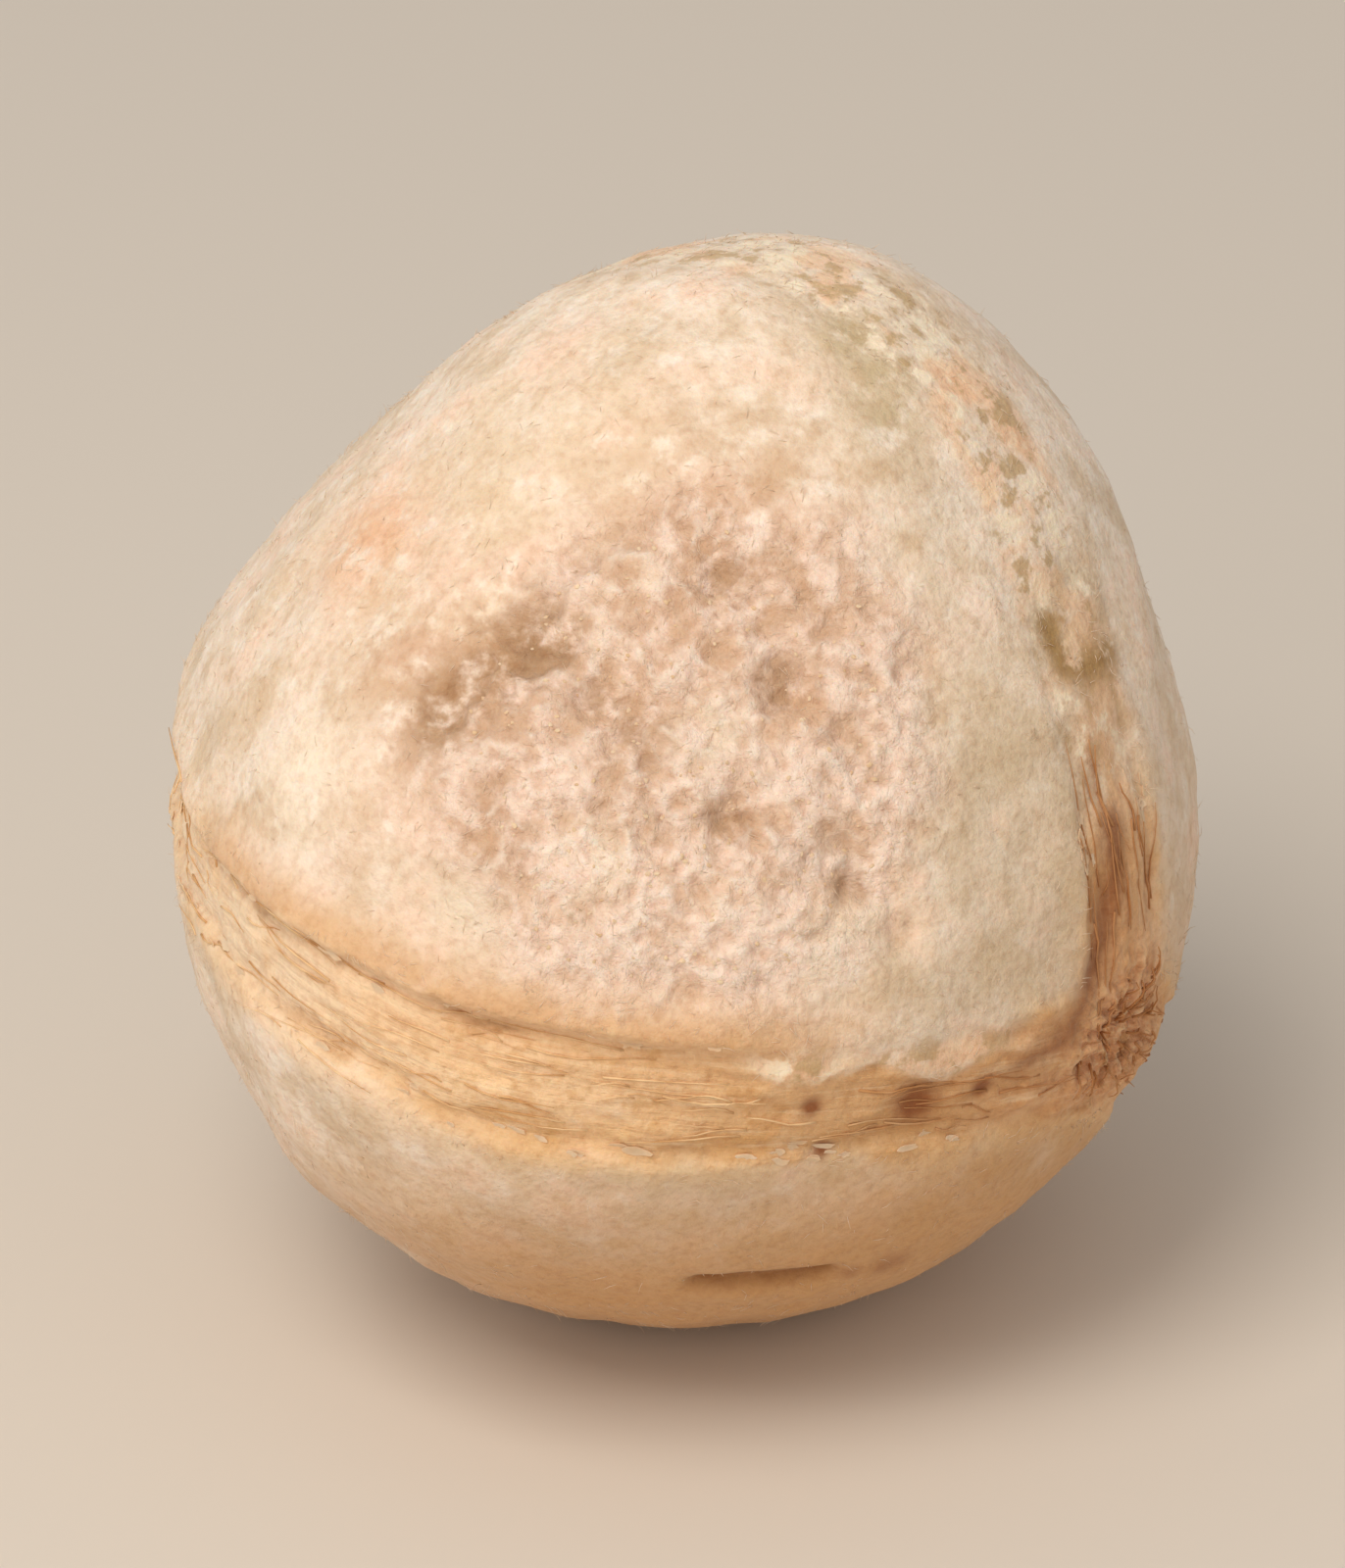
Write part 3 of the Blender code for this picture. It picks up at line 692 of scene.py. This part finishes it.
# Felt: fine crumpled strands 0.14 mm apart with dust between them. The worn patch has grains of
# flesh, the strips have streaks and their ends have tangled strands, all as bump alone.
felt = noise_of(tree, where, 0.14, detail=3.0, roughness=0.55, distortion=0.6, kind="RIDGED_MULTIFRACTAL")
relief = bumped(tree, felt, strength=0.35, depth=0.02)
relief = bumped(tree, noises["dust"], strength=0.8, depth=0.03, over=relief)
worn_mark = add(tree, "ShaderNodeAttribute", attribute_name="rubbed").outputs["Fac"]
grains = noise_of(tree, where, 0.11, detail=5.0, roughness=0.7, distortion=0.4)
relief = bumped(tree, times(tree, grains, worn_mark), strength=0.75, depth=0.07, over=relief)
relief = bumped(tree, times(tree, streaks, strip_mark), strength=0.7, depth=0.035, over=relief)
tangle_mark = add(tree, "ShaderNodeAttribute", attribute_name="tangle").outputs["Fac"]
strands = noise_of(tree, where, 0.10, detail=4.0, roughness=0.65, distortion=1.2, kind="RIDGED_MULTIFRACTAL")
relief = bumped(tree, times(tree, strands, tangle_mark), strength=1.0, depth=0.06, over=relief)
tree.links.new(relief, shader.inputs["Normal"])
rough = ranged(tree, noises["speck"], 0.3, 0.7, least=0.75, most=0.95)
tree.links.new(rough, shader.inputs["Roughness"])
shader.inputs["Specular IOR Level"].default_value = 0.25
shader.inputs["Subsurface Weight"].default_value = 0.2
shader.inputs["Subsurface Radius"].default_value = (1.0, 0.55, 0.3)
shader.inputs["Subsurface Scale"].default_value = 0.25 * MM
shader.inputs["Sheen Weight"].default_value = 0.12
shader.inputs["Sheen Roughness"].default_value = 0.5
skin_mesh.materials.append(skin_paper)

kernel_skin = bpy.data.objects.new("kernel_skin", skin_mesh)
bpy.context.scene.collection.objects.link(kernel_skin)
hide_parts("kernel")
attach(kernel_skin, "root")


# Torn fibres: what is left of the wings, dry brown plant threads as thin as 0.01 mm. They lie along
# the strips with one end loose, and stand in a ragged tuft out of the knot and round the nub.

STRIP_FIBRES, KNOT_FIBRES, NUB_FIBRES, FIBRE_SEED = (28, 110, 90), 46, 40, 3
FIBRE_LENGTH, FIBRE_RADIUS, FIBRE_LIFT = (0.25, 0.95), (0.005, 0.012), (0.01, 0.07)
FIBRE_DRIFT, FIBRE_WAVE, FIBRE_TAPER = 0.09, (0.03, 5), 0.65
TUFT_LENGTH, TUFT_LIFT, TUFT_FROM, TUFT_TWIST = (0.10, 0.26), (0.01, 0.07), (1, 8), 25
TUFT_THICKER, TUFT_TAPER, TUFT_ARCH = 1.2, 0.6, 2.4
FIBRE_POINTS, FIBRE_CLEARANCE = 6, 0.004
# The polar angles at which fibres start, the ones they keep between, and how many degrees from the
# knot give them 1 mm of room sideways. The top strip is seen only up to the third angle.
FIBRES_FROM, FIBRES_TO, TOP_STRIP_TO, FIBRES_BETWEEN, KNOT_ROOM = 8, 155, 30.0, (4, 176), 12
# The front strip's fibres keep off the skin that has grown over it, up to that polar angle.
GROWN_UP_TO, GROWN_SIDE = 56.0, 0.1


def tubes(name, strands, radii):
    """One mesh of thin closed tubes, each strand its points in metres with a radius at each in mm."""
    curve = bpy.data.curves.new(name, "CURVE")
    curve.dimensions = "3D"
    curve.bevel_depth = MM
    curve.bevel_resolution = 0
    curve.use_fill_caps = True
    for strand, radius in zip(strands, radii):
        spline = curve.splines.new("POLY")
        spline.points.add(len(strand) - 1)
        spline.points.foreach_set("co", np.column_stack([strand, np.ones(len(strand))]).ravel())
        spline.points.foreach_set("radius", radius)
    drawn = bpy.data.objects.new(name, curve)
    mesh = bpy.data.meshes.new_from_object(drawn)
    bpy.data.objects.remove(drawn)
    bpy.data.curves.remove(curve)
    closed = bmesh.new()
    closed.from_mesh(mesh)
    bmesh.ops.remove_doubles(closed, verts=closed.verts[:], dist=1e-5 * MM)
    closed.to_mesh(mesh)
    closed.free()
    mesh.name = name
    mesh.shade_smooth()
    return mesh


draw = random.Random(FIBRE_SEED)
share = np.linspace(0, 1, FIBRE_POINTS)
ways, lifts, widths = [], [], []
for ridge, count in zip(RIDGES, STRIP_FIBRES):
    for _ in range(count):
        first = draw.uniform(FIBRES_FROM, TOP_STRIP_TO if ridge is RIDGES[TOP_STRIP] else FIBRES_TO)
        length = math.degrees(draw.uniform(*FIBRE_LENGTH) / MEAN_REACH) * draw.choice((-1, 1))
        side = draw.uniform(-1, 1) * ridge["half_width"][0]
        if ridge is RIDGES[FRONT_STRIP] and first < GROWN_UP_TO:
            side = abs(side) - GROWN_SIDE
        drift = draw.uniform(-FIBRE_DRIFT, FIBRE_DRIFT)
        wave = draw.uniform(-FIBRE_WAVE[0], FIBRE_WAVE[0])
        for s in share:
            polar = min(max(first + length * s, FIBRES_BETWEEN[0]), FIBRES_BETWEEN[1])
            aside = side + drift * s + wave * math.sin(FIBRE_WAVE[1] * s)
            ways.append(on_strip(ridge, polar, min(aside, polar / KNOT_ROOM)))
        lifts.append(FIBRE_CLEARANCE + draw.uniform(*FIBRE_LIFT) * draw.random() * share**2)
        widths.append(draw.uniform(*FIBRE_RADIUS) * (1 - FIBRE_TAPER * share))
for count, pole in ((KNOT_FIBRES, 0), (NUB_FIBRES, 180)):
    for _ in range(count):
        first, turn = draw.uniform(*TUFT_FROM), draw.uniform(0, 360)
        length = math.degrees(draw.uniform(*TUFT_LENGTH) / MEAN_REACH)
        twist = draw.uniform(-TUFT_TWIST, TUFT_TWIST)
        ways += [direction(abs(pole - first - length * s), turn + twist * s) for s in share]
        lifts.append(draw.uniform(*TUFT_LIFT) * np.sin(TUFT_ARCH * share) + FIBRE_CLEARANCE)
        widths.append(draw.uniform(*FIBRE_RADIUS) * TUFT_THICKER * (1 - TUFT_TAPER * share))
ways = np.array(ways)
strands = laid(ways, skin(ways)[1] + np.concatenate(lifts)).reshape(-1, FIBRE_POINTS, 3)
fibre_mesh = tubes("torn_fibres", strands, widths)

# Dry plant fibre, tan with browner stretches, and red-brown by the knot.
fibre_brown = bpy.data.materials.new("dry_plant_fibre")
fibre_brown.use_nodes = True
tree = fibre_brown.node_tree
shader = tree.nodes["Principled BSDF"]
where = add(tree, "ShaderNodeTexCoord").outputs["Object"]
browner = ranged(tree, noise_of(tree, where, 0.3, detail=2.0), 0.35, 0.62)
tan = painted(tree, linear("F2D3A6"), "CE9E6A", browner)
towards_knot = add(tree, "ShaderNodeSeparateXYZ", {"Vector": where}).outputs["X"]
redder = ranged(tree, towards_knot, 2.7 * MM, 3.6 * MM, most=0.8)
tree.links.new(painted(tree, tan, "B0723F", redder), shader.inputs["Base Color"])
grain = noise_of(tree, where, 0.03, detail=2.0)
tree.links.new(bumped(tree, grain, strength=0.5, depth=0.004), shader.inputs["Normal"])
tree.links.new(ranged(tree, grain, least=0.6, most=0.85), shader.inputs["Roughness"])
shader.inputs["Specular IOR Level"].default_value = 0.3
fibre_mesh.materials.append(fibre_brown)

torn_fibres = bpy.data.objects.new("torn_fibres", fibre_mesh)
bpy.context.scene.collection.objects.link(torn_fibres)
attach(torn_fibres, "root")


# Scraps and crumbs: thin bits of the skin that lift along the lips and round the worn patch, and
# grains of dry flesh on the patch. Both are the kernel's own stuff, so they have its pale colour.

SCRAPS, CRUMB_GRAINS, SCRAP_SEED = 110, 260, 5
SCRAP_SIZE, SCRAP_THICKNESS, SCRAP_TILT = (0.014, 0.036), 0.007, (-5.0, 22.0)
SCRAP_STRETCH, SCRAP_SIDES, SCRAP_CURL, SCRAP_CUP = (1.3, 3.6), 12, (0.0, 0.6), 0.6
SCRAP_RAGGED, SCRAP_RAGGED_WAVES = 0.9, 2.3
# How many scraps each strip gets, the polar angles between which they lie, and how far off its edge.
SCRAP_SHARES, SCRAPS_FROM, SCRAPS_TO, SCRAPS_ASIDE = (1, 3, 2), 24.0, 150, (-0.12, 0.05)
GRAIN_SIZE, GRAIN_SPREAD, GRAIN_LONG, GRAIN_FLAT = (0.008, 0.019), 1.75, 1.4, 0.6
GRAIN_LUMPS, GRAIN_LUMP_WAVES = 0.5, 1.3
NOISE_STARTS = (0, 90)


def tangent_frame(at, heading):
    """Columns: the heading along the skin, the side square to it and the way out, as laid down."""
    out = Vector(DIP @ at)
    ahead = Vector(DIP @ heading)
    ahead = (ahead - out * ahead.dot(out)).normalized()
    return Matrix((ahead, out.cross(ahead), out)).transposed()


draw = random.Random(SCRAP_SEED)
sites = []
for _ in range(SCRAPS):
    ridge = draw.choices(RIDGES, SCRAP_SHARES)[0]
    polar = draw.uniform(SCRAPS_FROM, TOP_STRIP_TO if ridge is RIDGES[TOP_STRIP] else SCRAPS_TO)
    half = float(between(ridge["half_width"], smooth_step(*NARROWING, math.cos(math.radians(polar)))))
    side = draw.choice((-1, 1)) * (half + draw.uniform(*SCRAPS_ASIDE))
    if ridge is RIDGES[FRONT_STRIP] and polar < GROWN_UP_TO:
        side = abs(side)
    at, ahead = on_strip(ridge, polar, side), on_strip(ridge, polar + 1, side)
    sites.append((at, ahead - at, -math.copysign(1, side)))
where_on = np.array([site[0] for site in sites])
feet = laid(where_on, skin(where_on)[1])

scraps = bmesh.new()
for (at, heading, inward), foot in zip(sites, feet):
    size, stretch = draw.uniform(*SCRAP_SIZE), draw.uniform(*SCRAP_STRETCH)
    lift, curl = math.radians(draw.uniform(*SCRAP_TILT)), draw.uniform(*SCRAP_CURL)
    start = draw.uniform(*NOISE_STARTS)
    made = bmesh.ops.create_cone(scraps, cap_ends=True, cap_tris=True, segments=SCRAP_SIDES, radius1=1.0,
                                 radius2=1.0, depth=SCRAP_THICKNESS / size)["verts"]
    tilt = Matrix.Rotation(-lift * inward, 3, "X")
    stand = tangent_frame(at, heading) @ tilt
    for v in made:
        wave = noise.noise((v.co.x * SCRAP_RAGGED_WAVES + start, v.co.y * SCRAP_RAGGED_WAVES, 0))
        ragged = 1 + SCRAP_RAGGED * wave
        x, y = v.co.x * ragged * stretch, v.co.y * ragged
        z = v.co.z + curl * (x * x / stretch**2 + y * y) * SCRAP_CUP
        v.co = Vector(foot) + stand @ (Vector((x, y, z)) * size * MM)
for _ in range(CRUMB_GRAINS):
    at = strewn(draw, GRAIN_SPREAD)
    foot = Vector(laid(at[None], skin(at[None])[1])[0])
    size, start = draw.uniform(*GRAIN_SIZE), draw.uniform(*NOISE_STARTS)
    stand = tangent_frame(at, np.array((draw.uniform(-1, 1), draw.uniform(-1, 1), 0.3)))
    for v in bmesh.ops.create_icosphere(scraps, subdivisions=1, radius=1.0)["verts"]:
        lump = 1 + GRAIN_LUMPS * noise.noise(v.co * GRAIN_LUMP_WAVES + Vector((start, 0, 0)))
        grain = Vector((v.co.x * GRAIN_LONG, v.co.y, v.co.z * GRAIN_FLAT)) * lump * size * MM
        v.co = foot + stand @ grain
bmesh.ops.recalc_face_normals(scraps, faces=scraps.faces[:])
scrap_mesh = bpy.data.meshes.new("skin_scraps")
scraps.to_mesh(scrap_mesh)
scraps.free()
scrap_mesh.shade_smooth()
scrap_mesh.set_sharp_from_angle(angle=math.radians(30))

# Thin dry skin, cream to beige, that lets a little light through.
scrap_paper = bpy.data.materials.new("dry_skin_scrap")
scrap_paper.use_nodes = True
tree = scrap_paper.node_tree
shader = tree.nodes["Principled BSDF"]
where = add(tree, "ShaderNodeTexCoord").outputs["Object"]
browner = ranged(tree, noise_of(tree, where, 0.4, detail=3.0), 0.35, 0.65)
tree.links.new(painted(tree, linear("F3D4B2"), "E0B892", browner), shader.inputs["Base Color"])
grain = noise_of(tree, where, 0.05, detail=3.0)
tree.links.new(bumped(tree, grain, strength=0.6, depth=0.012), shader.inputs["Normal"])
tree.links.new(ranged(tree, grain, least=0.7, most=0.95), shader.inputs["Roughness"])
shader.inputs["Subsurface Weight"].default_value = 0.3
shader.inputs["Subsurface Radius"].default_value = (1.0, 0.6, 0.35)
shader.inputs["Subsurface Scale"].default_value = 0.1 * MM
shader.inputs["Specular IOR Level"].default_value = 0.25
scrap_mesh.materials.append(scrap_paper)

skin_scraps = bpy.data.objects.new("skin_scraps", scrap_mesh)
bpy.context.scene.collection.objects.link(skin_scraps)
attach(skin_scraps, "root")


# Nap: the frayed ends of the skin's own fibres, finer than 0.01 mm and nearly lying down. It makes
# the kernel look velvety and its outline soft. It is left off the strips.

NAP_HAIRS, NAP_SEED = 5200, 9
NAP_LENGTH, NAP_RADIUS, NAP_LEAN = (0.04, 0.12), 0.0028, (62.0, 84.0)
NAP_POINTS, NAP_TAPER, NAP_CURL, NAP_ROOT, NAP_ABOVE_TABLE = 3, (1.0, 0.8, 0.3), 0.5, 0.004, 0.25
# The nap's whirls: how far it turns in them, how close they are, and how far a hair strays.
NAP_WHIRL, NAP_WHIRL_WAVES, NAP_STRAY = 2.5, 3, 0.9

skin_mesh.update()
outward = np.empty(len(skin_mesh.vertices) * 3, dtype=np.float32)
skin_mesh.vertex_normals.foreach_get("vector", outward)
outward = outward.reshape(-1, 3)
draw = random.Random(NAP_SEED)
bare = np.flatnonzero((strip < 0.3) & (marks["pit"] < 0.5) & (points[:, 2] > NAP_ABOVE_TABLE * MM))
hairs, hair_radii = [], []
for root in draw.sample(bare.tolist(), NAP_HAIRS):
    out = Vector(outward[root])
    lean = out.orthogonal().normalized()
    whirl = NAP_WHIRL * noise.noise(Vector(d[root]) * NAP_WHIRL_WAVES) * math.pi
    lean.rotate(Matrix.Rotation(whirl + draw.uniform(-NAP_STRAY, NAP_STRAY), 3, out))
    angle, length = math.radians(draw.uniform(*NAP_LEAN)), draw.uniform(*NAP_LENGTH)
    curl = draw.uniform(-NAP_CURL, NAP_CURL)
    hair = [Vector(points[root]) - out * NAP_ROOT * MM]
    for _ in range(NAP_POINTS - 1):
        ahead = out * math.cos(angle) + lean * math.sin(angle)
        hair.append(hair[-1] + ahead * length * MM / (NAP_POINTS - 1))
        angle += curl
    hairs.append(np.array(hair))
    hair_radii.append(NAP_RADIUS * np.array(NAP_TAPER))
nap_mesh = tubes("nap", hairs, hair_radii)

# Pale dry fluff, nearly see-through in the light.
nap_fluff = bpy.data.materials.new("pale_fluff")
nap_fluff.use_nodes = True
tree = nap_fluff.node_tree
shader = tree.nodes["Principled BSDF"]
where = add(tree, "ShaderNodeTexCoord").outputs["Object"]
shade = noise_of(tree, where, 0.6, detail=2.0)
tree.links.new(painted(tree, linear("FBEFDF"), "E2C4A2", shade), shader.inputs["Base Color"])
tree.links.new(ranged(tree, shade, least=0.7, most=0.9), shader.inputs["Roughness"])
tree.links.new(bumped(tree, shade, strength=0.3, depth=0.002), shader.inputs["Normal"])
shader.inputs["Transmission Weight"].default_value = 0.25
shader.inputs["Specular IOR Level"].default_value = 0.2
nap_mesh.materials.append(nap_fluff)

nap = bpy.data.objects.new("nap", nap_mesh)
bpy.context.scene.collection.objects.link(nap)
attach(nap, "root")


# The table, the light and the camera: a plain pale table, soft light from the upper left, and the
# camera on the side that the photo was taken from.

TABLE_SIZE = 600
table_mesh = bpy.data.meshes.new("table")
top = bmesh.new()
bmesh.ops.create_grid(top, x_segments=1, y_segments=1, size=TABLE_SIZE / 2 * MM)
top.to_mesh(table_mesh)
top.free()
table_paint = bpy.data.materials.new("pale_matt_table")
table_paint.use_nodes = True
table_paint.node_tree.nodes["Principled BSDF"].inputs["Base Color"].default_value = linear("DCD4CA")
table_paint.node_tree.nodes["Principled BSDF"].inputs["Roughness"].default_value = 0.9
table_mesh.materials.append(table_paint)
table = bpy.data.objects.new("table", table_mesh)
bpy.context.scene.collection.objects.link(table)

room = bpy.data.worlds.new("room")
room.use_nodes = True
room.node_tree.nodes["Background"].inputs["Color"].default_value = linear("FFFAF4")
room.node_tree.nodes["Background"].inputs["Strength"].default_value = 0.45
bpy.context.scene.world = room
bpy.context.scene.view_settings.view_transform = "Standard"

VIEW_TURN, VIEW_RISE, VIEW_DISTANCE, LENS = 33.0, 28.0, 80.0, 250.0
AIM = Vector((0.0, 0.0, 3.95))


def toward(turn, rise):
    """The unit direction from the kernel at that turn round it, from -Y, and that rise."""
    a, e = math.radians(turn), math.radians(rise)
    return Vector((math.sin(a) * math.cos(e), -math.cos(a) * math.cos(e), math.sin(e)))


# Each lamp's name, turn, rise, distance, size, power in watts and colour.
LAMPS = (
    ("key", 0.0, 57.0, 90.0, 45.0, 0.045, "FFF6EA"),
    ("front", 6.0, 22.0, 90.0, 60.0, 0.0155, "FFF2E4"),
    ("fill", 95.0, 25.0, 110.0, 90.0, 0.0065, "FFE9D2"),
)
for name, turn, rise, distance, size, power, hex_colour in LAMPS:
    lamp = bpy.data.lights.new(name, "AREA")
    lamp.size = size * MM
    lamp.energy = power
    lamp.color = linear(hex_colour)[:3]
    light = bpy.data.objects.new(name, lamp)
    light.location = (AIM + toward(turn, rise) * distance) * MM
    light.rotation_euler = toward(turn, rise).to_track_quat("Z", "Y").to_euler()
    bpy.context.scene.collection.objects.link(light)

camera_data = bpy.data.cameras.new("camera")
camera_data.lens = LENS
camera_data.clip_start = 1 * MM
camera_data.clip_end = 2000 * MM
camera = bpy.data.objects.new("camera", camera_data)
camera.location = (AIM + toward(VIEW_TURN, VIEW_RISE) * VIEW_DISTANCE) * MM
camera.rotation_euler = toward(VIEW_TURN, VIEW_RISE).to_track_quat("Z", "Y").to_euler()
bpy.context.scene.collection.objects.link(camera)
bpy.context.scene.camera = camera
